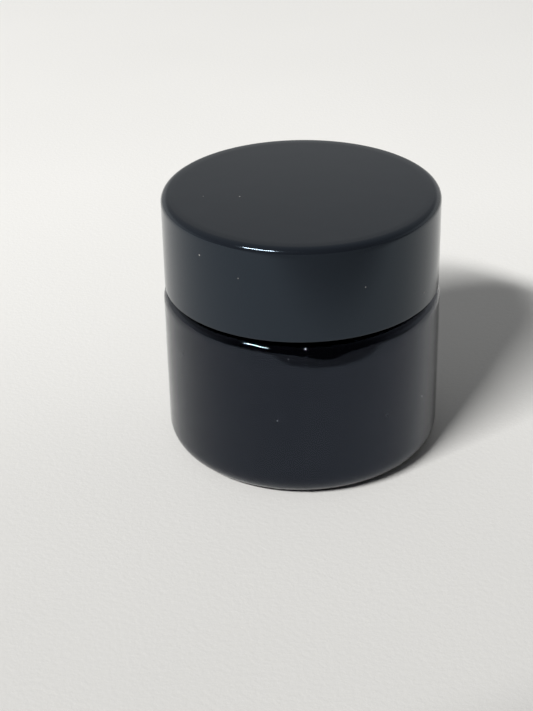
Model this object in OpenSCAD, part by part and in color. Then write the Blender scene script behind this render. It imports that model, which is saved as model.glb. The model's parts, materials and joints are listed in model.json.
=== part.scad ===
// Screw-lidded cosmetic cream jar of 50 ml: a thick-walled glass jar, and a double-wall
// lid made of a smooth outer shell and a threaded insert that snaps into it. A foam wad
// hangs loose in the lid and presses on a removable inner disc that covers the mouth.
// Millimetres. The origin is the centre of the ring that the jar stands on, and +Z is up.

/* [Glass body] */
// Outer diameter of the body
jar_d = 56; // [46:0.5:72]
// Height of the shoulder above the table
shoulder_h = 34.6; // [28:0.2:60]
// Thickness of the side wall
glass_wall = 4; // [3:0.1:5]
// Thickness of the glass under the shoulder
shoulder_t = 4; // [3:0.1:5]
// Height of the inside floor above the table
glass_floor = 7; // [4:0.1:9]
// Outer radius between the side and the base
heel_r = 4.5; // [2:0.1:6]
// Outer radius between the side and the shoulder
shoulder_r = 2.4; // [0.8:0.1:3]
// Inner radius between the side and the floor
floor_r = 5; // [2:0.1:7]
// Depth of the hollow under the base
push_up = 1.5; // [0.5:0.1:2.5]
// Width of the ring that the jar stands on
bearing_w = 3; // [1.5:0.1:5]

/* [Neck] */
// Height of the neck above the shoulder
neck_h = 11.5; // [9.5:0.1:16]
// Thickness of the neck wall
neck_wall = 2.75; // [2:0.05:4]
// Radius on the outer edge of the rim
rim_r = 0.8; // [0.3:0.1:1.2]
// Rise of the thread in one turn
pitch = 4.233; // [3.6:0.001:5]
// Turns of thread on the neck
neck_turns = 1.25; // [0.75:0.05:1.4]
// How far the glass thread stands out
thread_depth = 1.2; // [0.8:0.05:1.4]
// Width of the glass thread at its root
thread_w = 2.4; // [1.6:0.05:2.6]

/* [Lid] */
// How far the lid's side is set in from the body's
lid_step = 0.3; // [0:0.05:1]
// Gap between the lid's lower edge and the shoulder
lid_gap = 0.35; // [0.2:0.05:1]
// Thickness of the outer shell's side
shell_wall = 1.4; // [1:0.05:2.2]
// Thickness of the outer shell's top
shell_top = 1.8; // [1.2:0.1:3]
// Radius on the outer shell's top edge
edge_r = 1.4; // [0.5:0.1:2]
// Space between the two side walls
air_gap = 0.9; // [0.6:0.05:4]
// Space between the two tops
top_void = 3.05; // [1:0.05:6]
// Thickness of the insert's side
insert_wall = 1.2; // [0.9:0.05:2]
// Thickness of the insert's top
insert_top = 1.2; // [0.8:0.1:2.4]
// Width of the lid's thread at its root
lid_thread_w = 1.7; // [1.2:0.05:1.8]
// Turns of thread in the lid
lid_turns = 1.25; // [0.75:0.05:1.4]
// Number of ribs inside the shell that key the insert
rib_count = 12; // [6:1:16]
// Width of a rib
rib_w = 1.2; // [0.8:0.1:2]

/* [Seals] */
// Thickness of the wad's foam core
foam_t = 1.35; // [0.8:0.05:2.5]
// Thickness of the wad's facing film
facing_t = 0.15; // [0.1:0.05:0.3]
// Thickness of the inner disc
disc_t = 0.7; // [0.5:0.05:1.2]
// Depth of the inner disc's dish below the rim
dish_depth = 3.6; // [2:0.1:5]
// Width of the fin that lifts the inner disc
fin_w = 16; // [8:0.5:22]

/* [Clearances] */
// Radial gap round the neck's thread, inside the insert
thread_gap = 0.45; // [0.35:0.05:0.8]
// Gap between the lid thread's crest and the neck
crest_gap = 0.35; // [0.2:0.05:0.5]
// Gap between the two threads' flanks when the lid is shut
flank_gap = 0.2; // [0.1:0.05:0.4]
// Radial gap round the wad, in the insert
wad_gap = 0.1; // [0.05:0.05:0.2]
// Radial gap between the inner disc's plug and the mouth
plug_gap = 0.2; // [0.1:0.05:0.4]
// Gap round snapped and keyed plastic parts
snap_gap = 0.1; // [0.05:0.05:0.2]

/* [Hidden] */

// Fineness
lathe_fn = 96;
arc_step = 15; // degrees of a rounded corner in one straight step
bead_step = 6; // degrees of a thread in one straight step
bead_points = 8; // steps across a thread's crest
bead_fade = 40; // degrees over which a thread rises from its wall
bead_sink = 0.4; // how deep a thread's root is buried in its wall
bead_dip = 0.1; // how far below its wall a thread's crest starts
join = 0.3; // how far a rib or lug runs into what it grows from

// Small sizes that more than one piece is placed by
insert_up = 1.3; // how far the insert's lower edge is above the shell's
flange_t = 1.2; // thickness of the insert's flange
rim_land = 1; // plain glass between the thread and the rim
insert_land = 0.2; // plain bore between the insert's lower edge and its thread
bead_t = 0.2; // fall of a snap bead from its root to its crest

// Radii, from the outside in
jar_r = jar_d / 2;
lid_r = jar_r - lid_step;
shell_in_r = lid_r - shell_wall;
insert_r = shell_in_r - air_gap;
insert_bore_r = insert_r - insert_wall;
thread_r = insert_bore_r - thread_gap;
neck_r = thread_r - thread_depth;
mouth_r = neck_r - neck_wall;
cavity_r = jar_r - glass_wall;
lid_thread_depth = insert_bore_r - crest_gap - neck_r;
flange_r = shell_in_r - snap_gap;
snap_bead_r = (insert_r + flange_r) / 2;
wad_r = insert_bore_r - wad_gap;
wad_bead_r = (thread_r + wad_r) / 2;
disc_r = neck_r - snap_gap;
plug_r = mouth_r - plug_gap;

// Heights, from the table up
rim_h = shoulder_h + neck_h;
lid_h0 = shoulder_h + lid_gap;
insert_h0 = lid_h0 + insert_up;
flange_h = insert_h0 + flange_t;
wad_h0 = rim_h + disc_t;
foam_h0 = wad_h0 + facing_t;
ceiling_h = foam_h0 + foam_t;
insert_h = ceiling_h + insert_top;
shell_ceiling_h = insert_h + top_void;
lid_h = shell_ceiling_h + shell_top;
dish_h0 = rim_h - dish_depth;
// The slope under the shoulder falls at 45 degrees and leaves the glass shoulder_t thick
slope_h = shoulder_h + neck_wall - shoulder_t * sqrt(2);

// A half-elliptical bead of width w that stands out by depth: how far it reaches along Z
// on each side of its centre line, at a distance d from its wall
function bead_reach(w, depth, d) =
    w / 2 * sqrt(max(0, 1 - pow((d + bead_dip) / (depth + bead_dip), 2)));

// The threads: heights are those of a bead's centre line. The lid's thread runs just under
// the neck's, and starts just above the insert's lower edge.
thread_h0 = rim_h - rim_land - thread_w / 2 - pitch * neck_turns;
shared_w = thread_r - neck_r - crest_gap;
flank_reach = max([for (i = [0:20])
    let (d = crest_gap + shared_w * i / 20)
    bead_reach(thread_w, thread_depth, d)
    + bead_reach(lid_thread_w, lid_thread_depth, insert_bore_r - neck_r - d)]);
lid_thread_h0 = insert_h0 + insert_land + lid_thread_w / 2;
lid_thread_angle = 360 / pitch * (lid_thread_h0 - thread_h0 + flank_reach + flank_gap);

function unit(v) = v / norm(v);
function xy(p) = [p[0], p[1]];
function reversed(list) = [for (i = [len(list) - 1:-1:0]) list[i]];

// A corner b = [x, y, r] between its neighbours a and c, as an arc of radius r, or sharp
function rounded_corner(a, b, c) =
    len(b) < 3 ? [b] :
    let (u = unit(xy(a) - xy(b)),
         v = unit(xy(c) - xy(b)),
         half = acos(u * v) / 2,
         centre = xy(b) + unit(u + v) * b[2] / sin(half),
         p = xy(b) + u * b[2] / tan(half) - centre,
         q = xy(b) + v * b[2] / tan(half) - centre,
         start = atan2(p[1], p[0]),
         sweep = (atan2(q[1], q[0]) - start + 540) % 360 - 180,
         steps = ceil(abs(sweep) / arc_step))
    [for (i = [0:steps])
        let (turn = start + sweep * i / steps)
        centre + b[2] * [cos(turn), sin(turn)]];

// A closed outline from its corners, each [x, y] or [x, y, rounding radius]
function rounded(corners) =
    let (n = len(corners))
    [for (i = [0:n - 1])
        each rounded_corner(corners[(i + n - 1) % n], corners[i], corners[(i + 1) % n])];

// A body of revolution about Z, from its outline in radius and height
module lathe(corners) {
    rotate_extrude($fn = lathe_fn) polygon(rounded(corners));
}

// A block bent round Z: from radius r0 to r1, from height h0 to h1, centred on an angle
module bent_block(r0, r1, h0, h1, angle, at_angle) {
    rotate_extrude(angle = angle, start = at_angle - angle / 2, $fn = lathe_fn)
        translate([r0, h0])
            square([r1 - r0, h1 - h0]);
}

// A thread: a half-elliptical bead that climbs a right-hand helix round Z and fades out
// at both ends. It stands out from radius r where side is 1, and inwards where it is -1.
module thread_bead(r, side, depth, w, turns, h0, at_angle) {
    span = turns * 360;
    rings = ceil(span / bead_step);
    n = bead_points + 3;
    points = [for (i = [0:rings]) let (
            along = span * i / rings,
            rise = min(1, along / bead_fade, (span - along) / bead_fade),
            lift = (depth + bead_dip) * sin(90 * rise),
            turn = at_angle + along)
        for (k = [0:n - 1]) let (
            on_crest = k <= bead_points,
            a = 180 * k / bead_points,
            d = on_crest ? lift * sin(a) - bead_dip : -bead_sink,
            z = w / 2 * (on_crest ? cos(a) : k == n - 1 ? 1 : -1))
        [(r + side * d) * cos(turn), (r + side * d) * sin(turn), h0 + pitch * along / 360 + z]];
    sides = [for (i = [0:rings - 1]) for (k = [0:n - 1])
        let (a = i * n + k, b = i * n + (k + 1) % n)
        each [[a, a + n, b + n], [a, b + n, b]]];
    first_end = [for (k = [0:n - 1]) k];
    last_end = [for (k = [n - 1:-1:0]) rings * n + k];
    faces = concat(sides, [first_end, last_end]);
    polyhedron(points, side > 0 ? faces : [for (face = faces) reversed(face)]);
}

// Thick-walled glass: a ring to stand on, a straight side, a rounded shoulder, and a
// screw-threaded neck whose mouth is narrower than the space below it
module glass_jar() {
    ring_in_r = jar_r - heel_r - bearing_w;
    ring_r = 0.8;
    hollow_slope_w = 3;
    hollow_r = 4;
    neck_foot_r = 0.6;
    throat_r = 3;
    inner_shoulder_r = 4;
    color("#2b2430") {
        lathe([
            [0, push_up],
            [ring_in_r - hollow_slope_w, push_up, hollow_r],
            [ring_in_r, 0, ring_r],
            [jar_r, 0, heel_r],
            [jar_r, shoulder_h, shoulder_r],
            [neck_r, shoulder_h, neck_foot_r],
            [neck_r, rim_h, rim_r],
            [mouth_r, rim_h, rim_r],
            [mouth_r, slope_h, throat_r],
            [cavity_r, slope_h - (cavity_r - mouth_r), inner_shoulder_r],
            [cavity_r, glass_floor, floor_r],
            [0, glass_floor]
        ]);
        thread_bead(neck_r, 1, thread_depth, thread_w, neck_turns, thread_h0, 0);
    }
}

// The lid's smooth outside. A bead near its lower edge holds the insert in. Its ribs run
// down the side, where they stop the insert from turning, and in under the top to a round
// hub, where they press on the insert.
module lid_outer_shell() {
    bead_h = insert_h0 - snap_gap;
    rib_in_r = insert_r + snap_gap;
    hub_r = 6;
    lower_edge_r = 0.2;
    lead_in = [0.2, 0.3];
    inner_edge_r = 0.8;
    bead_r = 0.15;
    color("#16171b") {
        lathe([
            [shell_in_r + lead_in[0], lid_h0],
            [lid_r, lid_h0, lower_edge_r],
            [lid_r, lid_h, edge_r],
            [0, lid_h],
            [0, shell_ceiling_h],
            [shell_in_r, shell_ceiling_h, inner_edge_r],
            [shell_in_r, bead_h],
            [snap_bead_r, bead_h - bead_t, bead_r],
            [shell_in_r, lid_h0 + lead_in[1]]
        ]);
        bent_block(hub_r - rib_w, hub_r, insert_h, shell_ceiling_h + join, 360, 0);
        for (i = [0:rib_count - 1]) {
            rotate(360 * i / rib_count)
                translate([0, rib_w / 2, 0])
                    rotate([90, 0, 0])
                        linear_extrude(rib_w)
                            polygon([
                                [hub_r - rib_w / 2, insert_h],
                                [rib_in_r, insert_h],
                                [rib_in_r, flange_h + snap_gap],
                                [shell_in_r + join, flange_h + snap_gap],
                                [shell_in_r + join, shell_ceiling_h + join],
                                [hub_r - rib_w / 2, shell_ceiling_h + join]
                            ]);
        }
    }
}

// The part of the lid that screws on to the neck. Its flange snaps over the shell's bead,
// and a pair of lugs on the flange straddles each of the shell's ribs.
module lid_threaded_insert() {
    bore_edge_r = 0.3;
    flange_edge_r = 0.2;
    top_edge_r = 0.8;
    bead_r = 0.1;
    bead_foot = 0.7;
    lug_w = 1.6;
    lug_h = 2.5;
    lug_angle = 360 * lug_w / (2 * PI * insert_r);
    lug_offset = 360 * ((rib_w + lug_w) / 2 + snap_gap) / (2 * PI * insert_r);
    wad_bead_h = wad_h0 - snap_gap;
    color("#1c1c1f") {
        lathe([
            [insert_bore_r, insert_h0, bore_edge_r],
            [flange_r, insert_h0, flange_edge_r],
            [flange_r, flange_h],
            [insert_r, flange_h],
            [insert_r, insert_h, top_edge_r],
            [0, insert_h],
            [0, ceiling_h],
            [insert_bore_r, ceiling_h],
            [insert_bore_r, wad_bead_h],
            [wad_bead_r, wad_bead_h - bead_t, bead_r],
            [insert_bore_r, wad_bead_h - bead_foot]
        ]);
        for (i = [0:rib_count - 1]) {
            for (side = [-1, 1]) {
                bent_block(insert_r - join, flange_r, flange_h - join, flange_h + lug_h,
                           lug_angle, 360 * i / rib_count + side * lug_offset);
            }
        }
        thread_bead(insert_bore_r, -1, lid_thread_depth, lid_thread_w, lid_turns,
                    lid_thread_h0, lid_thread_angle);
    }
}

// The springy middle of the lid's wad
module wad_foam_core() {
    color("#f2f1ec")
        translate([0, 0, foam_h0])
            cylinder(r = wad_r, h = foam_t, $fn = lathe_fn);
}

// The smooth film on the wad's lower side, which meets the inner disc
module wad_facing_film() {
    color("#f7f8f8")
        translate([0, 0, wad_h0])
            cylinder(r = wad_r, h = facing_t, $fn = lathe_fn);
}

// A dished plastic disc: its flange rests on the rim, its dish hangs in the mouth, and an
// upright fin in the dish lifts it out by hand
module inner_disc() {
    dish_in_r = plug_r - disc_t;
    dish_h = dish_h0 + disc_t;
    plug_edge_r = 0.8;
    flange_edge_r = 0.2;
    dish_edge_r = 0.6;
    fin_t = 1.1;
    fin_below_wad = 0.5;
    fin_h = wad_h0 - fin_below_wad - dish_h;
    fin_taper = 1;
    fin_corner_r = 1.5;
    fin_bead_d = 1.5;
    fin_bead_inset = 3;
    color("#e9edf0") {
        lathe([
            [0, dish_h0],
            [plug_r, dish_h0, plug_edge_r],
            [plug_r, rim_h],
            [disc_r, rim_h],
            [disc_r, wad_h0, flange_edge_r],
            [dish_in_r, wad_h0, flange_edge_r],
            [dish_in_r, dish_h, dish_edge_r],
            [0, dish_h]
        ]);
        translate([0, fin_t / 2, dish_h - join])
            rotate([90, 0, 0])
                linear_extrude(fin_t)
                    polygon(rounded([
                        [-fin_w / 2, 0],
                        [fin_w / 2, 0],
                        [fin_w / 2 - fin_taper, fin_h + join, fin_corner_r],
                        [fin_taper - fin_w / 2, fin_h + join, fin_corner_r]
                    ]));
        translate([0, 0, dish_h + fin_h - fin_t / 2])
            rotate([0, 90, 0])
                cylinder(d = fin_bead_d, h = fin_w - 2 * fin_bead_inset, center = true, $fn = 24);
    }
}

glass_jar();
lid_outer_shell();
lid_threaded_insert();
wad_foam_core();
wad_facing_film();
inner_disc();
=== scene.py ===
# %% [markdown]
# # A cosmetic cream jar of violet glass, with a black double-wall screw lid
# The jar is pressed and blown glass, so its skin is smooth but never quite true, and the
# join of the two mould halves runs down it as a fine line. The lid is two plastic
# mouldings, a polished shell and a threaded insert. A foam wad hangs loose in the lid, and
# a dished disc lies on the rim. Every piece is round, so nearly all of them are one
# outline turned about the axis, and what makes each one real is what is added to that
# outline: a thread, a mould seam, a knurl, a sag. We load the CAD frame first, keep its
# box, and read from it the places where the pieces meet.

# %% The frame and the places it gives
import json

import bpy
import numpy as np
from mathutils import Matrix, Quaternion, Vector


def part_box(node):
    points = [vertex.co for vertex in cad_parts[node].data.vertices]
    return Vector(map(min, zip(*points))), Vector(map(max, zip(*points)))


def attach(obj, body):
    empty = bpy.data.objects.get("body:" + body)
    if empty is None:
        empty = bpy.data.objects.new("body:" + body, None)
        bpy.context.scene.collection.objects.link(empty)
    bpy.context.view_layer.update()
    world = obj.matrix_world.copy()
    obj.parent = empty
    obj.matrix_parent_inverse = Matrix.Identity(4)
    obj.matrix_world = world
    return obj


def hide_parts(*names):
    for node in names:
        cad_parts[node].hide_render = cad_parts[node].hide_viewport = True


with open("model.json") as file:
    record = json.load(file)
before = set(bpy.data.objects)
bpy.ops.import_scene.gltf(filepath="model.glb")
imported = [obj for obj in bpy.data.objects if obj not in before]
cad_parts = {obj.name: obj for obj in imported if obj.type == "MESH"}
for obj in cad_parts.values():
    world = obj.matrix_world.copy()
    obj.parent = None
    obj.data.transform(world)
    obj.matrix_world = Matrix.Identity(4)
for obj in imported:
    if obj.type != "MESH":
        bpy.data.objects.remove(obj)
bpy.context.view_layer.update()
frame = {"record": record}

mm = 0.001
tau = 2 * np.pi
glass_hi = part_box("glass_jar")[1]
shell_lo, shell_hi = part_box("lid_outer_shell")
insert_lo, insert_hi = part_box("lid_threaded_insert")
foam_lo, foam_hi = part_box("wad_foam_core")
film_lo, film_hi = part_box("wad_facing_film")
disc_lo, disc_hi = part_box("inner_disc")

# %% [markdown]
# ## The camera
# It stands a little to the front, looks down on the jar by about a third of a right angle,
# and is held very slightly askew, as a camera in the hand is. A long lens keeps the lid's
# ellipse calm. It is placed by its distance and its height angle from the middle of the
# base, and aimed at a point just beside the axis.

# %% Camera
view_distance = 348.8 * mm
view_elevation = np.radians(31.39)
view_target = Vector((-7.44, 0, 17.05)) * mm
view_roll = np.radians(-1.18)
lens_mm = 82.75

camera_data = bpy.data.cameras.new("camera")
camera_data.lens = lens_mm
camera_data.sensor_width = 36
camera_data.clip_start = 0.01
camera = bpy.data.objects.new("camera", camera_data)
camera.location = view_distance * Vector((0, -np.cos(view_elevation), np.sin(view_elevation)))
looking = (view_target - camera.location).to_track_quat("-Z", "Y")
camera.rotation_euler = (looking @ Quaternion((0, 0, 1), view_roll)).to_euler()
bpy.context.scene.collection.objects.link(camera)
bpy.context.scene.camera = camera
print("camera at", [round(1000 * x) for x in camera.location], "mm")

# %% [markdown]
# ## Turning an outline
# A lathe or Blender's Screw modifier would turn a profile too, but then nothing could be
# added that changes round the axis. Here the outline is a list of corners, each with its
# own rounding radius. It is drawn with the solid on its left hand, so the way out of the
# solid is always to the right of the direction of travel, and a `push` can move each
# point of the turned surface along that way out.

# %% Outlines
def rounded_outline(corners, arc_step=np.radians(9), run=1.6 * mm):
    """Corners (radius, height, rounding, longest step after it) to a dense open outline.

    A rounded corner becomes an arc that touches both of its straights: its centre lies on
    the line that halves the corner, at rounding / sin(half the corner's angle) from it.
    Straights are then cut into equal steps no longer than the corner's own step or `run`.
    """
    full = [tuple(c) + (0, 0)[: max(0, 4 - len(c))] for c in corners]
    xy = np.array([c[:2] for c in full])
    points, steps = [xy[:1]], [full[0][3] or run]
    for before, (x, y, rounding, step), after in zip(xy, full[1:-1], xy[2:]):
        corner = np.array([x, y])
        u = (before - corner) / np.linalg.norm(before - corner)
        v = (after - corner) / np.linalg.norm(after - corner)
        half = np.arccos(np.clip(u @ v, -1, 1)) / 2
        if rounding:
            middle = (u + v) / np.linalg.norm(u + v)
            centre = corner + middle * rounding / np.sin(half)
            first = corner + u * rounding / np.tan(half) - centre
            last = corner + v * rounding / np.tan(half) - centre
            start = np.arctan2(first[1], first[0])
            sweep = (np.arctan2(last[1], last[0]) - start + np.pi) % tau - np.pi
            turn = start + sweep * np.linspace(0, 1, max(3, int(abs(sweep) / arc_step) + 2))
            points.append(centre + rounding * np.stack([np.cos(turn), np.sin(turn)], 1))
        else:
            points.append(corner[None])
        steps += [rounding] * (len(points[-1]) - 1) + [step or run]
    points.append(xy[-1:])
    path = np.concatenate(points)
    length = np.linalg.norm(np.diff(path, axis=0), axis=1)
    cuts = np.maximum(1, np.ceil(length / np.array(steps) - 1e-6)).astype(int)
    where = np.concatenate([i + np.arange(n) / n for i, n in enumerate(cuts)] + [[len(path) - 1]])
    index = np.arange(len(path))
    return np.stack([np.interp(where, index, path[:, 0]), np.interp(where, index, path[:, 1])], 1)


def ways_out(path):
    """The unit vectors out of the solid along an outline: its tangent turned a quarter right."""
    along = np.gradient(path, axis=0)
    along /= np.linalg.norm(along, axis=1, keepdims=True)
    return np.stack([along[:, 1], -along[:, 0]], 1)


# %% Meshes from grids
def mesh_object(name, points, faces, material, body):
    """A smooth-shaded mesh object from an array of points and lists of faces."""
    mesh = bpy.data.meshes.new(name)
    mesh.from_pydata(points.tolist(), [], faces)
    mesh.polygons.foreach_set("use_smooth", np.ones(len(mesh.polygons), bool))
    mesh.materials.append(material)
    piece = bpy.data.objects.new(name, mesh)
    bpy.context.scene.collection.objects.link(piece)
    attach(piece, body)
    triangles = sum(len(face) - 2 for face in faces)
    print(f"{name}: {len(points)} points, {triangles} triangles")
    return piece


def sphere_like_faces(rows, columns):
    """Faces of rows of points closed round their columns, with a pole point at either end."""
    i = np.arange(rows - 1)[:, None] * columns
    j = np.arange(columns)[None, :]
    k = (j + 1) % columns
    quads = 1 + np.stack([i + j, i + k, i + k + columns, i + j + columns], -1).reshape(-1, 4)
    first, last = 0, rows * columns + 1
    ring, after = 1 + j[0], 1 + k[0]
    top = (rows - 1) * columns
    fan_a = np.stack([np.full(columns, first), after, ring], 1)
    fan_b = np.stack([np.full(columns, last), top + ring, top + after], 1)
    return quads.tolist() + fan_a.tolist() + fan_b.tolist()


def turned(name, path, angles, material, body, push=None):
    """The outline turned about Z, from pole to pole.

    A point is (r cos a, r sin a, z), moved along the way out by push(r, z, out, a), where
    r and z are columns, a is a row, and out holds the way out's two parts as columns.
    """
    r, z = path[1:-1, :1], path[1:-1, 1:]
    out = ways_out(path)[1:-1]
    a = angles[None, :]
    d = push(r, z, (out[:, :1], out[:, 1:]), a) if push else np.zeros((len(r), a.size))
    ring_r, ring_z = r + out[:, :1] * d, z + out[:, 1:] * d
    grid = np.stack([ring_r * np.cos(a), ring_r * np.sin(a), ring_z + 0 * a], -1)
    first = [0, 0, grid[0, :, 2].mean()]
    last = [0, 0, grid[-1, :, 2].mean()]
    points = np.vstack([first, grid.reshape(-1, 3), last])
    return mesh_object(name, points, sphere_like_faces(len(grid), a.size), material, body)


def even_angles(count):
    """A full turn in equal steps."""
    return tau * np.arange(count) / count


# %% [markdown]
# ## Small shapes added to a turned surface
# A screw thread is a bump that follows a helix, so it can be a height added to the wall: at
# each point we ask how far along the helix it is, and how far above or below the helix's
# centre line. Slow random waves give glass and large mouldings the unevenness that makes
# their reflections look real.

# %% Thread, waves and bumps
def bump(x):
    """A round-topped bump on -1..1: one minus x squared, to a power that softens its foot."""
    return np.clip(1 - x * x, 0, 1) ** 0.8


def helix_bead(z, a, base_h, start, turns, pitch, width, depth, fade=np.radians(40)):
    """Height of a thread bead at heights z and angles a.

    The bead's centre line rises by pitch a turn from base_h at the start angle. Across it,
    the height is a bump, and at both ends it fades in over the fade angle.
    """
    span = turns * tau
    lead = (a - start) % tau
    height = np.zeros(np.broadcast(z, a).shape)
    for k in range(int(turns) + 2):
        along = lead + k * tau
        rise = np.clip(np.minimum(along, span - along) / fade, 0, 1)
        x = (z - base_h - pitch * along / tau) / (width / 2)
        height = np.maximum(height, depth * np.sin(rise * np.pi / 2) * bump(x))
    return height


def slow_waves(z, a, height, seed, around=(2, 9), wavelength=(9 * mm, 40 * mm), count=14):
    """Sum of sine waves that run round and along a body, scaled to about the given height."""
    rng = np.random.default_rng(seed)
    total = 0
    for _ in range(count):
        turns = rng.integers(*around)
        climb = tau / rng.uniform(*wavelength) * rng.choice([-1, 1])
        total = total + np.sin(turns * a + climb * z + rng.uniform(0, tau))
    return height * total / np.sqrt(count)


def ramp(x, low, high):
    """0 below low, 1 above high, and smooth between."""
    t = np.clip((x - low) / (high - low), 0, 1)
    return t * t * (3 - 2 * t)


def ramp_line(x, low, high):
    """0 below low, 1 above high, and straight between."""
    return np.clip((x - low) / (high - low), 0, 1)


def bent_blocks(name, r0, r1, h0, h1, width, angles, material, body, bevel=0.15 * mm):
    """Equal blocks set round the axis as one mesh, each from r0 to r1 and from h0 to h1."""
    x = np.array([r0, r1, r1, r0] * 2)
    y = np.array([-1, -1, 1, 1] * 2) * width / 2
    z = np.array([h0] * 4 + [h1] * 4)
    cos, sin = np.cos(angles)[:, None], np.sin(angles)[:, None]
    points = np.stack([x * cos - y * sin, x * sin + y * cos, z + 0 * cos], -1).reshape(-1, 3)
    box = np.array([[3, 2, 1, 0], [4, 5, 6, 7], [0, 1, 5, 4],
                    [1, 2, 6, 5], [2, 3, 7, 6], [3, 0, 4, 7]])
    faces = (8 * np.arange(len(angles))[:, None, None] + box).reshape(-1, 4).tolist()
    piece = mesh_object(name, points, faces, material, body)
    edge = piece.modifiers.new("edges", "BEVEL")
    edge.width = bevel
    edge.segments = 2
    return piece


# %% [markdown]
# ## Effects that the finishes share
# Each effect is a small node group that gives out only masks and heights, so that every
# material can use it in its own measure. The skin of a moulding is never a mirror: it has
# a faint swell from the mould and a finer grain. Things that are handled pick up hair-fine
# scratches and a few specks of dust. All the patterns sit on Object coordinates, in metres.

# %% Node helpers
def put(tree, kind, inputs=None, **settings):
    """Adds a shader node, with its settings, and its inputs as values or as links."""
    node = tree.nodes.new("ShaderNode" + kind)
    for name, value in settings.items():
        setattr(node, name, value)
    for name, value in (inputs or {}).items():
        if isinstance(value, bpy.types.NodeSocket):
            tree.links.new(value, node.inputs[name])
        else:
            node.inputs[name].default_value = value
    return node


def sums(tree, operation, a, b=0.0, clamp=False):
    """The result of a Math node."""
    return put(tree, "Math", {0: a, 1: b}, operation=operation, use_clamp=clamp).outputs[0]


def new_group(name, inputs, outputs):
    """An empty node group with named float inputs (and defaults) and float outputs."""
    tree = bpy.data.node_groups.new(name, "ShaderNodeTree")
    for label, value in inputs.items():
        socket = tree.interface.new_socket(label, in_out="INPUT", socket_type="NodeSocketFloat")
        socket.default_value = value
    for label in outputs:
        tree.interface.new_socket(label, in_out="OUTPUT", socket_type="NodeSocketFloat")
    return tree, tree.nodes.new("NodeGroupInput").outputs, tree.nodes.new("NodeGroupOutput").inputs


def mapped(tree, scale=(1, 1, 1), turn=(0, 0, 0)):
    """Object coordinates, turned and then scaled."""
    place = put(tree, "TexCoord").outputs["Object"]
    turned_place = put(tree, "Mapping", {"Vector": place, "Rotation": turn})
    return put(tree, "Mapping", {"Vector": turned_place.outputs[0], "Scale": scale}).outputs[0]


# %% Group: the skin of a moulding
def make_skin_group():
    """Height of a moulded skin: a slow swell, plus a fine grain in its own measure."""
    tree, given, out = new_group(
        "moulded skin", {"Swell size": 220, "Grain size": 2600, "Grain": 0.3}, ["Height"])
    place = mapped(tree)
    swell = put(tree, "TexNoise", {"Vector": place, "Scale": given["Swell size"], "Detail": 1.0})
    grain = put(tree, "TexNoise", {"Vector": place, "Scale": given["Grain size"], "Detail": 3.0})
    fine = sums(tree, "MULTIPLY", grain.outputs["Fac"], given["Grain"])
    tree.links.new(sums(tree, "ADD", swell.outputs["Fac"], fine), out["Height"])
    return tree


skin_group = make_skin_group()


# %% Group: the marks of handling
def scratch_mask(tree, turn, density):
    """Thin lines where a strongly stretched noise passes one value, broken up by a second noise."""
    stretched = mapped(tree, scale=(30, 2400, 2400), turn=turn)
    lines = put(tree, "TexNoise", {"Vector": stretched, "Scale": 1.0, "Detail": 0.0}).outputs["Fac"]
    near = sums(tree, "ABSOLUTE", sums(tree, "SUBTRACT", lines, 0.5))
    thin = put(tree, "MapRange", {"Value": near, "From Min": 0.012, "From Max": 0.0})
    turned_place = mapped(tree, turn=turn)
    patches = put(tree, "TexNoise", {"Vector": turned_place, "Scale": 140, "Detail": 2.0})
    present = put(tree, "MapRange", {"Value": patches.outputs["Fac"],
                                     "From Min": 0.5, "From Max": 0.7})
    broken = sums(tree, "MULTIPLY", thin.outputs[0], present.outputs[0])
    return sums(tree, "MULTIPLY", broken, density)


def make_handling_group():
    """Masks of fine scratches in three directions, of dust specks, and of a greasy smear."""
    kinds = ["Scratches", "Dust", "Smears"]
    tree, given, out = new_group("handling marks", {kind: 1.0 for kind in kinds}, kinds)
    total = 0.0
    for turn in ((0.3, 0.1, 0.4), (0.9, 0.5, 1.5), (1.7, 1.1, 2.5)):
        total = sums(tree, "ADD", scratch_mask(tree, turn, given["Scratches"]), total, clamp=True)
    tree.links.new(total, out["Scratches"])
    cells = put(tree, "TexVoronoi", {"Vector": mapped(tree), "Scale": 420.0})
    chance = put(tree, "SeparateColor", {"Color": cells.outputs["Color"]}).outputs[0]
    size = put(tree, "MapRange", {"Value": chance,
                                  "From Min": 0.9, "From Max": 1.0, "To Max": 0.12})
    within = sums(tree, "SUBTRACT", size.outputs[0], cells.outputs["Distance"])
    speck = put(tree, "MapRange", {"Value": within, "From Min": 0.0, "From Max": 0.03})
    tree.links.new(sums(tree, "MULTIPLY", speck.outputs[0], given["Dust"]), out["Dust"])
    smear = put(tree, "TexNoise", {"Vector": mapped(tree, scale=(1, 1, 0.5)), "Scale": 60.0,
                                   "Detail": 4.0, "Distortion": 0.6})
    cloud = put(tree, "MapRange", {"Value": smear.outputs["Fac"],
                                   "From Min": 0.48, "From Max": 0.72})
    tree.links.new(sums(tree, "MULTIPLY", cloud.outputs[0], given["Smears"]), out["Smears"])
    return tree


handling_group = make_handling_group()
print("node groups:", skin_group.name, "and", handling_group.name)


# %% One way to start every material
def new_material(name, **values):
    """A material with a Principled BSDF, whose named sockets get these plain values."""
    material = bpy.data.materials.new(name)
    material.use_nodes = True
    tree = material.node_tree
    shader = tree.nodes["Principled BSDF"]
    for label, value in values.items():
        shader.inputs[label.replace("_", " ")].default_value = value
    return material, tree, shader


def place_group(tree, group, **values):
    """A group node with its inputs set."""
    node = put(tree, "Group", node_tree=group)
    for label, value in values.items():
        node.inputs[label.replace("_", " ")].default_value = value
    return node.outputs


def add_skin(tree, shader, depth, **values):
    """The moulded skin as a bump of the given depth in metres."""
    height = place_group(tree, skin_group, **values)["Height"]
    relief = put(tree, "Bump", {"Height": height, "Strength": 1.0, "Distance": depth})
    tree.links.new(relief.outputs[0], shader.inputs["Normal"])


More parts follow.
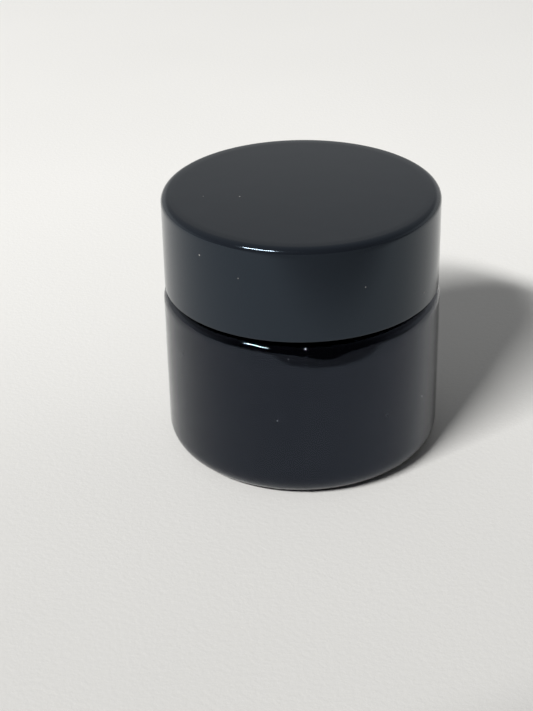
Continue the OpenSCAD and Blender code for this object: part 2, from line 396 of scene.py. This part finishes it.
def add_handling(tree, shader, colour, dust_colour, base_roughness, roughened, **values):
    """Scratches, smears and dust: the first two raise the roughness, dust covers the colour too."""
    marks = place_group(tree, handling_group, **values)
    faint_smears = sums(tree, "MULTIPLY", marks["Smears"], 0.35)
    both = sums(tree, "ADD", marks["Scratches"], faint_smears, clamp=True)
    worn = sums(tree, "ADD", sums(tree, "MULTIPLY", both, roughened), base_roughness)
    rough = put(tree, "Mix", {"Factor": marks["Dust"], "A": worn, "B": 0.8})
    tree.links.new(rough.outputs["Result"], shader.inputs["Roughness"])
    tint = put(tree, "Mix", {"Factor": marks["Dust"], 6: colour, 7: dust_colour}, data_type="RGBA")
    tree.links.new(tint.outputs[2], shader.inputs["Base Color"])


# %% [markdown]
# ## Finishes
# The violet glass is clear glass with a volume that swallows nearly all light but a little
# red and violet, so thick places look black and only thin edges glow. The shell is black
# plastic from a polished mould, and the insert is the same black from a blasted one. Glass
# and plastic really reflect without a tint, but under the cool light of a window such
# black things look slightly blue, and a tint on the specular colour is a simple way to say
# so. That tint is painted light: a blue cast on the reflections, which also dims them. The
# foam is full of fine closed cells, its film is smooth, and the disc is cloudy natural
# polyethylene, which lets a little light in.

# %% Glass
def make_violet_glass():
    """Clear glass round an absorbing volume, with faint smears and specks of dust."""
    # painted light: the specular tint gives the glass's reflections a blue cast and dims them
    material, tree, shader = new_material("violet glass", Transmission_Weight=1.0, IOR=1.52,
                                          Specular_Tint=(0.64, 0.75, 1.0, 1))
    add_handling(tree, shader, (0.86, 0.82, 0.9, 1), (0.6, 0.58, 0.55, 1), 0.015, 0.06,
                 Scratches=0.5, Dust=0.8, Smears=0.3)
    add_skin(tree, shader, 0.01 * mm, Swell_size=260, Grain=0.0)
    swallow = put(tree, "VolumeAbsorption", {"Color": (0.55, 0.02, 0.56, 1), "Density": 2300.0})
    tree.links.new(swallow.outputs[0], tree.nodes["Material Output"].inputs["Volume"])
    return material


violet_glass = make_violet_glass()


# %% Black plastics
def make_black_plastic(name, colour, roughness, roughened, depth, **marks):
    """Black moulded plastic, with the mould's finish as roughness and bump depth."""
    # painted light: the specular tint gives the plastic's reflections a blue cast and dims them
    material, tree, shader = new_material(name, IOR=1.47, Specular_Tint=(0.64, 0.82, 1.0, 1))
    add_handling(tree, shader, colour, (0.32, 0.31, 0.3, 1), roughness, roughened, **marks)
    add_skin(tree, shader, depth, Swell_size=180, Grain=0.25)
    return material


black_shell = make_black_plastic("polished black plastic", (0.009, 0.011, 0.015, 1), 0.09, 0.2,
                                 0.006 * mm, Scratches=0.8, Dust=0.9, Smears=0.35)
black_insert = make_black_plastic("satin black plastic", (0.012, 0.012, 0.013, 1), 0.36, 0.15,
                                  0.02 * mm, Scratches=0.3, Dust=0.3, Smears=0.3)


# %% Foam, film and natural polyethylene
def make_foam():
    """White foam with closed cells of about a fifth of a millimetre."""
    material, tree, shader = new_material("white foam", Roughness=0.85, Subsurface_Weight=0.15,
                                          Subsurface_Scale=0.001)
    cells = put(tree, "TexVoronoi", {"Vector": mapped(tree), "Scale": 5200.0})
    height = sums(tree, "MULTIPLY", cells.outputs["Distance"], -1.0)
    relief = put(tree, "Bump", {"Height": height, "Strength": 0.8, "Distance": 0.05 * mm})
    tree.links.new(relief.outputs[0], shader.inputs["Normal"])
    shade = put(tree, "Mix", {"Factor": cells.outputs["Distance"], 6: (0.78, 0.77, 0.73, 1),
                              7: (0.9, 0.89, 0.86, 1)}, data_type="RGBA")
    tree.links.new(shade.outputs[2], shader.inputs["Base Color"])
    return material


def make_pale_plastic(name, colour, roughness, grain, glow, **marks):
    """Smooth pale plastic that lets some light in, with a mould's grain on it."""
    material, tree, shader = new_material(name, IOR=1.5, Subsurface_Weight=glow,
                                          Subsurface_Scale=0.002)
    add_handling(tree, shader, colour, (0.5, 0.48, 0.45, 1), roughness, 0.2, **marks)
    add_skin(tree, shader, 0.02 * mm, Swell_size=320, Grain_size=3200, Grain=grain)
    return material


white_foam = make_foam()
facing_film = make_pale_plastic("white facing film", (0.86, 0.865, 0.86, 1), 0.2, 0.1, 0.1,
                                Scratches=0.6, Dust=0.3, Smears=0.4)
natural_plastic = make_pale_plastic("natural polyethylene", (0.8, 0.83, 0.84, 1), 0.38, 0.5, 0.45,
                                    Scratches=0.4, Dust=0.2, Smears=0.3)
print("materials:", [m.name for m in bpy.data.materials])

# %% [markdown]
# ## The glass jar
# The jar's wall is about four millimetres thick, and its mouth is narrower than the space
# below it, so the outline runs from the hollow under the base, round the outside, over the
# rim and down to the inside floor. The mould leaves a fine line down both sides where its
# halves meet, a knurled ring to stand on, and a swell below the shoulder where the hot
# glass first touched the cooler metal. Beside the lines the shoulder has slumped a little,
# so it turns over earlier there. The inside never touches a mould, so it waves more.

# %% Glass jar
jar_r, rim_h = glass_hi.x, glass_hi.z
lid_gap = 0.35 * mm
glass_wall = 4 * mm
shoulder_wall = 4 * mm
neck_wall = 2.75 * mm
shoulder_h = shell_lo.z - lid_gap
neck_r = disc_hi.x + 0.1 * mm
mouth_r = neck_r - neck_wall
cavity_r = jar_r - glass_wall
glass_floor = 7 * mm
push_up = 1.5 * mm
heel_r = 4.5 * mm
ring_in_r = jar_r - heel_r - 3 * mm
slope_h = shoulder_h + neck_wall - shoulder_wall * np.sqrt(2)

seam_angles = np.radians([-88.3, 91.7])
seam_offsets = np.radians([0.07, 0.15, 0.24, 0.35, 0.5, 0.75])
seam_height, seam_width = 0.11 * mm, 0.2 * mm
slump_angles = seam_angles + np.radians(8)
slump_width, slump_depth = np.radians(21), 0.8 * mm
side_wave, settle_wave, inside_wave = 0.012 * mm, 0.016 * mm, 0.09 * mm
knurls, knurl_depth = 84, 0.1 * mm
knurl_out_r = 23 * mm

pitch = tau * frame["record"]["behaviour"]["couplings"][0]["ratio"]
neck_thread = dict(start=0, turns=1.25, pitch=pitch, width=2.4 * mm, depth=1.2 * mm)
neck_thread_h = rim_h - 2.2 * mm - 1.25 * pitch

glass_outline = rounded_outline([
    (0, push_up),
    (ring_in_r - 3 * mm, push_up, 4 * mm),
    (ring_in_r, 0, 0.8 * mm, 0.5 * mm),
    (jar_r, 0, heel_r, 0.9 * mm),
    (jar_r, shoulder_h, 2.4 * mm, 0.5 * mm),
    (neck_r, shoulder_h, 0.6 * mm, 0.17 * mm),
    (neck_r, rim_h, 0.8 * mm),
    (mouth_r, rim_h, 0.8 * mm),
    (mouth_r, slope_h, 3 * mm),
    (cavity_r, slope_h - (cavity_r - mouth_r), 4 * mm),
    (cavity_r, glass_floor, 5 * mm),
    (0, glass_floor),
])
beside_seams = [(seam + s * seam_offsets) % tau for seam in seam_angles for s in (-1, 1)]
glass_angles = np.sort(np.concatenate([even_angles(336)] + beside_seams))


def glass_skin(r, z, out, a):
    """Everything that stands out from the plain outline of the jar.

    Outside: slow waves, closer waves below the shoulder, the seams as narrow ridges
    exp(-(distance / width) squared), the slumps of the shoulder beside the seams with the
    same formula, and the thread. Inside: stronger slow waves.
    Under the base: grooves across the bearing ring.
    """
    outside = (r > neck_r - 0.2 * mm) & (out[0] > -0.3) & (z > 0.5 * mm)
    side = ramp(r, jar_r - 2.5 * mm, jar_r - 0.5 * mm) * outside * ramp(z, 1 * mm, 5 * mm)
    inside = (out[0] < 0.1) & (r < cavity_r + 0.1 * mm)
    inside = inside & (z > glass_floor - 0.1 * mm) & (z < rim_h - 2 * mm)
    settle = ramp(z, shoulder_h - 7 * mm, shoulder_h - 2.5 * mm) * side
    settle = settle * (1 - 0.6 * ramp(z, shoulder_h - 1.8 * mm, shoulder_h - 0.6 * mm))
    height = side * slow_waves(z, a, side_wave, seed=3)
    close_waves = slow_waves(z, a, settle_wave, seed=5, around=(7, 26),
                             wavelength=(3 * mm, 9 * mm))
    height = height + settle * close_waves
    height = height + inside * slow_waves(z, a, inside_wave, seed=8, around=(1, 7))
    for seam in seam_angles:
        across = ((a - seam + np.pi) % tau - np.pi) * r
        height = height + outside * seam_height * np.exp(-(across / seam_width) ** 2)
    slack = outside * ramp(r, jar_r - 3.5 * mm, jar_r - 1.5 * mm)
    slack = slack * ramp(z, shoulder_h - 5.2 * mm, shoulder_h - 1 * mm)
    for middle in slump_angles:
        around = ((a - middle + np.pi) % tau - np.pi) / slump_width
        height = height - slack * slump_depth * np.exp(-around ** 2)
    on_neck = (abs(r - neck_r) < 0.01 * mm) & (out[0] > 0.9)
    height = height + on_neck * helix_bead(z, a, neck_thread_h, **neck_thread)
    on_ring = (z < 0.3 * mm) * ramp(r, ring_in_r, ring_in_r + 0.7 * mm)
    on_ring = on_ring * (1 - ramp(r, knurl_out_r, knurl_out_r + 1 * mm))
    return height - on_ring * knurl_depth * np.sin(knurls * a / 2) ** 2


jar = turned("glass_body", glass_outline, glass_angles, violet_glass, "jar", glass_skin)
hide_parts("glass_jar")

# %% [markdown]
# ## The lid's outer shell
# This is the part that one sees: a plain cup with a small rounding on its top edge. Its
# top is very slightly dished and its side very slightly uneven, as thin mouldings are.
# Inside, a bead near the lower edge holds the insert, and twelve ribs stop it from turning.

# %% Outer shell
lid_r, lid_h0, lid_h = shell_hi.x, shell_lo.z, shell_hi.z
edge_r = 1.4 * mm
shell_wall, shell_top = 1.4 * mm, 1.8 * mm
air_gap = 0.9 * mm
shell_in_r = lid_r - shell_wall
shell_ceiling_h = lid_h - shell_top
insert_r = shell_in_r - air_gap
insert_h0, insert_h = insert_lo.z, insert_hi.z
flange_h = insert_h0 + 1.2 * mm
snap_gap = 0.1 * mm
lead_in = 0.35 * mm
rib_angles = even_angles(12)
rib_w = 1.2 * mm
web_in_r = 5.4 * mm
rib_top_h = shell_ceiling_h + 0.3 * mm

shell_outline = rounded_outline([
    (0, shell_ceiling_h),
    (shell_in_r, shell_ceiling_h, 0.8 * mm),
    (shell_in_r, insert_h0 - snap_gap, 0.1 * mm),
    (shell_in_r - 0.5 * mm, insert_h0 - 3 * snap_gap, 0.15 * mm),
    (shell_in_r, lid_h0 + lead_in, 0.2 * mm),
    (shell_in_r + 0.2 * mm, lid_h0, 0.15 * mm, 0.3 * mm),
    (lid_r, lid_h0, 0.3 * mm, 0.8 * mm),
    (lid_r, lid_h, edge_r),
    (0, lid_h),
])


def shell_skin(r, z, out, a):
    """The top's shallow dish, as one minus the squared radius, and slow waves on the side."""
    top = ramp(out[1], 0.9, 1.0) * (z > lid_h - 0.2 * mm)
    side = ramp(out[0], 0.3, 1.0) * (r > lid_r - 2 * mm)
    dish = 0.05 * mm * np.clip(1 - (r / (lid_r - edge_r)) ** 2, 0, 1)
    return side * slow_waves(z, a, 0.004 * mm, seed=12, around=(2, 7)) - top * dish


shell = turned("lid_shell", shell_outline, even_angles(320), black_shell, "lid", shell_skin)
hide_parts("lid_outer_shell")
ribs = bent_blocks("lid_shell_ribs", insert_r + snap_gap, shell_in_r + 0.3 * mm,
                   flange_h + snap_gap, rib_top_h, rib_w, rib_angles, black_shell, "lid")
webs = bent_blocks("lid_shell_webs", web_in_r, insert_r + 0.5 * mm,
                   insert_h, rib_top_h, rib_w, rib_angles, black_shell, "lid")

# %% [markdown]
# ## The threaded insert
# One sees it only with the lid off, from below: a satin black ring, a thread that matches
# the one on the neck, and a small bead above it that keeps the wad from falling out. The
# thread runs just under the glass one, half a pitch lower, so it is the same helix again,
# standing inwards. Its pitch is the one that the lid's joint climbs by.

# %% Threaded insert
insert_bore_r = insert_r - 1.2 * mm
ceiling_h = foam_hi.z
wad_bead_h = film_lo.z - snap_gap
lid_thread_h = insert_h0 + 1.05 * mm
thread_drop = 1.71 * mm
lid_thread_start = tau * (lid_thread_h - neck_thread_h + thread_drop) / pitch
lid_thread = dict(start=lid_thread_start, turns=1.25, pitch=pitch, width=1.7 * mm, depth=1.3 * mm)

insert_outline = rounded_outline([
    (0, ceiling_h),
    (insert_bore_r, ceiling_h, 0.15 * mm),
    (insert_bore_r, wad_bead_h, 0.05 * mm),
    (insert_bore_r - 0.27 * mm, wad_bead_h - 0.25 * mm, 0.12 * mm),
    (insert_bore_r, wad_bead_h - 0.7 * mm, 0.2 * mm, 0.13 * mm),
    (insert_bore_r, insert_h0, 0.3 * mm),
    (insert_hi.x, insert_h0, 0.25 * mm),
    (insert_hi.x, flange_h, 0.15 * mm),
    (insert_r, flange_h, 0.15 * mm),
    (insert_r, insert_h, 0.8 * mm),
    (0, insert_h),
])


def insert_skin(r, z, out, a):
    """The lid's thread, standing inwards from the bore."""
    on_bore = (abs(r - insert_bore_r) < 0.01 * mm) & (out[0] < -0.9) & (z < wad_bead_h - 0.8 * mm)
    return on_bore * helix_bead(z, a, lid_thread_h, **lid_thread)


insert = turned("lid_insert", insert_outline, even_angles(288), black_insert, "lid", insert_skin)
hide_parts("lid_threaded_insert")
lug_w = 1.6 * mm
lug_offset = ((rib_w + lug_w) / 2 + snap_gap) / insert_r
lug_angles = np.concatenate([rib_angles - lug_offset, rib_angles + lug_offset])
lugs = bent_blocks("lid_insert_lugs", insert_r - 0.3 * mm, insert_hi.x - 0.02 * mm,
                   flange_h - 0.3 * mm, flange_h + 2.5 * mm, lug_w, lug_angles,
                   black_insert, "lid", bevel=0.1 * mm)

# %% [markdown]
# ## The wad
# The wad is a disc of foam with a smooth film on its lower side. Pressed on the inner disc
# day after day, it keeps a shallow print of the disc's flange, which is why the film is a
# turned surface with a step in it, not a flat plate.

# %% Wad
wad_r = foam_hi.x
print_r = mouth_r - 0.9 * mm


def foam_skin(r, z, out, a):
    """A slightly bulged and uneven cut edge."""
    edge = ramp(out[0], 0.5, 1.0)
    return edge * (slow_waves(z, a, 0.012 * mm, seed=21, around=(5, 30)) - 0.02 * mm)


def film_skin(r, z, out, a):
    """The print of the flange: film that nothing presses stands a little proud of it."""
    below = out[1] < -0.9
    beyond = ramp(r, neck_r - 0.1 * mm, neck_r + 0.3 * mm)
    pressed = ramp(r, print_r - 0.3 * mm, print_r) * (1 - beyond)
    ripple = 0.006 * mm * np.sin(9 * a) * ramp(r, 2 * mm, 12 * mm)
    return below * (1 - pressed) * (0.04 * mm + ripple)


foam = turned("wad_foam", rounded_outline([
    (0, foam_lo.z), (wad_r, foam_lo.z, 0.05 * mm), (wad_r, foam_hi.z, 0.2 * mm), (0, foam_hi.z)],
    run=0.8 * mm), even_angles(192), white_foam, "wad", foam_skin)
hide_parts("wad_foam_core")
film = turned("wad_film", rounded_outline([
    (0, film_lo.z), (wad_r, film_lo.z, 0.05 * mm), (wad_r, film_hi.z, 0.03 * mm), (0, film_hi.z)],
    run=0.4 * mm), even_angles(192), facing_film, "wad", film_skin)
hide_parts("wad_facing_film")

# %% [markdown]
# ## The inner disc
# The disc hangs in the mouth by its flange. Its dish has low rings, which keep it flat as
# it cools, and the scar of the gate under its middle. An upright fin with a beaded top
# and fine ribs is there for finger and thumb. The fin is a closed section carried along
# the disc: a rounded rectangle, widened near its top, that closes at both ends.

# %% Inner disc
disc_r, dish_h0, disc_top_h = disc_hi.x, disc_lo.z, film_lo.z
disc_t = 0.7 * mm
plug_r = mouth_r - 0.2 * mm
dish_in_r = plug_r - disc_t
dish_h = dish_h0 + disc_t

disc_outline = rounded_outline([
    (0, dish_h0, 0, 0.35 * mm),
    (plug_r, dish_h0, 0.8 * mm),
    (plug_r, rim_h, 0.15 * mm),
    (disc_r, rim_h, 0.15 * mm),
    (disc_r, disc_top_h, 0.2 * mm),
    (dish_in_r, disc_top_h, 0.3 * mm),
    (dish_in_r, dish_h, 0.6 * mm, 0.25 * mm),
    (0, dish_h),
])


def disc_skin(r, z, out, a):
    """Two low rings in the dish, and the gate's scar as a small nub under its middle."""
    floor = (out[1] > 0.9) & (z < dish_h + 0.1 * mm)
    rings = sum(bump((r - ring_r) / (0.5 * mm)) for ring_r in (11 * mm, 15.5 * mm))
    under = (out[1] < -0.9) & (z < dish_h0 + 0.1 * mm)
    nub = 0.25 * mm * ramp(1.3 * mm - r, 0, 0.5 * mm) - 0.1 * mm * ramp(0.6 * mm - r, 0, 0.3 * mm)
    return floor * 0.1 * mm * rings + under * nub + 0 * a


disc = turned("sealing_disc", disc_outline, even_angles(224), natural_plastic, "disc", disc_skin)
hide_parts("inner_disc")


# %% Lifting fin
def lifting_fin(name, width, thickness, low, high, material, body):
    """A closed section carried along X.

    Its half-thickness and half-height are those of a superellipse, |cos|^0.4 and |sin|^0.4;
    a bump near the top widens it, a sine along X ribs it, and at its ends the section
    narrows as a quarter circle while its top comes down as a larger one.
    """
    end = width / 2
    x = end * np.sin(np.linspace(-np.pi / 2, np.pi / 2, 121))[1:-1, None]
    round_end = np.sqrt(1 - ramp_line(abs(x), end - 0.5 * mm, end) ** 2)
    top = high - 1.5 * mm * (1 - np.sqrt(1 - ramp_line(abs(x), end - 1.5 * mm, end) ** 2))
    a = even_angles(72)[None, :]
    y = np.sign(np.cos(a)) * abs(np.cos(a)) ** 0.4 * thickness / 2
    z = (top + low) / 2 + np.sign(np.sin(a)) * abs(np.sin(a)) ** 0.4 * (top - low) / 2
    beaded = 1 + 0.36 * bump((z - top + 0.55 * mm) / (0.8 * mm))
    ribbed = 1 + 0.12 * np.sin(tau * x / (1.1 * mm)) * ramp(end - 2 * mm - abs(x), 0, 1 * mm)
    grid = np.stack([x + 0 * a, y * beaded * ribbed * round_end, z + 0 * x], -1)
    middle = (low + high - 1.5 * mm) / 2
    points = np.vstack([[-end, 0, middle], grid.reshape(-1, 3), [end, 0, middle]])
    return mesh_object(name, points, sphere_like_faces(len(grid), a.size), material, body)


fin_w, fin_t = 16 * mm, 1.1 * mm
fin = lifting_fin("sealing_disc_fin", fin_w, fin_t, dish_h - 0.3 * mm, disc_top_h - 0.5 * mm,
                  natural_plastic, "disc")

# %% [markdown]
# ## Floor and light
# A pale matt sheet is enough to stand on. One wide, shallow softbox, far off and high up to
# the left of the camera, gives the jar its shadow and the small bright flecks on its
# rounded edges. A black glossy thing shows little else than what is round it. Its top
# mirrors the wall behind, which is pale low down and grey above. Its sides lean away from
# a camera that looks down, so they mirror the floor just in front, and how dark that floor
# is sets how dark they look. That is why painted shade darkens the sheet's colour towards
# the front, most of all where the camera no longer sees it. Painted light also makes the
# sheet lighter from front to back. What faces the jar from the front is nearly black.

# %% Floor
floor_half = 6
# Painted light and shade on the floor: a darker colour towards the front, and painted shade further
# in front, past the line set below.
front_y, back_y = -0.12, 0.15
front_painted_light_level = 0.71
shade_direction = (0.4, -0.917, 0)
shade_start, shade_end = 86 * mm, 135 * mm
shade_tone = 0.38


def make_floor_material():
    """Pale matt paper with a faint tooth and slow changes of tone.

    Painted light makes it darker from back to front, down to `front_painted_light_level` of its
    colour.
    Past a line that is `shade_start` from the axis, measured along `shade_direction`,
    painted shade takes it on down to `shade_tone` of that.
    """
    material, tree, shader = new_material("pale sheet", Roughness=0.9, Specular_IOR_Level=0.2)
    place = mapped(tree)
    depth = put(tree, "SeparateXYZ", {"Vector": place}).outputs["Y"]
    # painted light: the colour ramps from darker at the front to lighter at the back
    far = put(tree, "MapRange", {"Value": depth, "From Min": front_y, "From Max": back_y},
              interpolation_type="SMOOTHSTEP").outputs[0]
    # painted shade: the colour darkens further past a line in front of the jar
    out = put(tree, "VectorMath", {0: place, 1: shade_direction}, operation="DOT_PRODUCT")
    painted_shade_factor = put(tree, "MapRange", {"Value": out.outputs["Value"],
                                 "From Min": shade_start, "From Max": shade_end,
                                 "To Min": 1.0, "To Max": shade_tone},
              interpolation_type="SMOOTHSTEP").outputs[0]
    tooth = put(tree, "TexNoise", {"Vector": place, "Scale": 900.0, "Detail": 5.0,
                                   "Roughness": 0.6}).outputs["Fac"]
    tone = put(tree, "TexNoise", {"Vector": place, "Scale": 9.0, "Detail": 2.0}).outputs["Fac"]
    mixed = sums(tree, "ADD", sums(tree, "MULTIPLY", tone, 0.7),
                 sums(tree, "MULTIPLY", tooth, 0.3))
    shade = put(tree, "Mix", {"Factor": mixed, 6: (0.84, 0.842, 0.83, 1),
                              7: (0.93, 0.93, 0.92, 1)}, data_type="RGBA")
    level = put(tree, "MapRange", {"Value": far, "To Min": front_painted_light_level, "To Max": 1.0}).outputs[0]
    # the painted light ramp times the painted shade scales the paper's colour
    both = sums(tree, "MULTIPLY", level, painted_shade_factor)
    toned = put(tree, "VectorMath", {0: shade.outputs[2], "Scale": both}, operation="SCALE")
    tree.links.new(toned.outputs[0], shader.inputs["Base Color"])
    relief = put(tree, "Bump", {"Height": tooth, "Strength": 0.5, "Distance": 0.15 * mm})
    tree.links.new(relief.outputs[0], shader.inputs["Normal"])
    return material


corner_signs = ((-1, -1), (1, -1), (1, 1), (-1, 1))
floor_corners = [(x * floor_half, y * floor_half, 0) for x, y in corner_signs]
floor_mesh = bpy.data.meshes.new("floor")
floor_mesh.from_pydata(floor_corners, [], [(0, 1, 2, 3)])
floor_mesh.materials.append(make_floor_material())
floor = bpy.data.objects.new("floor", floor_mesh)
bpy.context.scene.collection.objects.link(floor)
print("floor:", 2 * floor_half, "m wide, shaded from", round(shade_start / mm), "mm in front")

# %% Softbox
key_azimuth = np.radians(38.5)
key_elevation = np.radians(42.7)
key_distance = 3
key_width, key_height = 0.38, 0.07
key_strength = 12.9
key_direction = Vector((-np.sin(key_azimuth) * np.cos(key_elevation),
                        -np.cos(key_azimuth) * np.cos(key_elevation), np.sin(key_elevation)))
key_data = bpy.data.lights.new("softbox", "AREA")
key_data.shape = "RECTANGLE"
key_data.size = key_distance * key_width
key_data.size_y = key_distance * key_height
key_data.energy = key_strength * key_distance ** 2
key_data.color = (1.0, 0.985, 0.96)
key = bpy.data.objects.new("softbox", key_data)
key.location = key_distance * key_direction
key.rotation_euler = (-key_direction).to_track_quat("-Z", "Y").to_euler()
bpy.context.scene.collection.objects.link(key)
print("softbox:", round(key_data.size, 2), "by", round(key_data.size_y, 2), "m")

# %% Studio
dark_front = (0.034, 0.034, 0.038, 1)
low_wall = (0.62, 0.62, 0.61, 1)
high_wall = (0.3, 0.3, 0.296, 1)

world = bpy.data.worlds.new("studio")
bpy.context.scene.world = world
world.use_nodes = True
sky = world.node_tree
facing = put(sky, "SeparateXYZ", {"Vector": put(sky, "TexCoord").outputs["Generated"]})
towards_back = put(sky, "MapRange", {"Value": facing.outputs["Y"],
                                     "From Min": -0.75, "From Max": 0.6},
                   interpolation_type="SMOOTHSTEP")
upwards = put(sky, "MapRange", {"Value": facing.outputs["Z"], "From Min": 0.28, "From Max": 0.45},
              interpolation_type="SMOOTHSTEP")
wall = put(sky, "Mix", {"Factor": upwards.outputs[0], 6: low_wall, 7: high_wall},
           data_type="RGBA")
studio = put(sky, "Mix", {"Factor": towards_back.outputs[0], 6: dark_front,
                          7: wall.outputs[2]}, data_type="RGBA")
sky.links.new(studio.outputs[2], sky.nodes["Background"].inputs["Color"])
bpy.context.scene.view_settings.view_transform = "Standard"
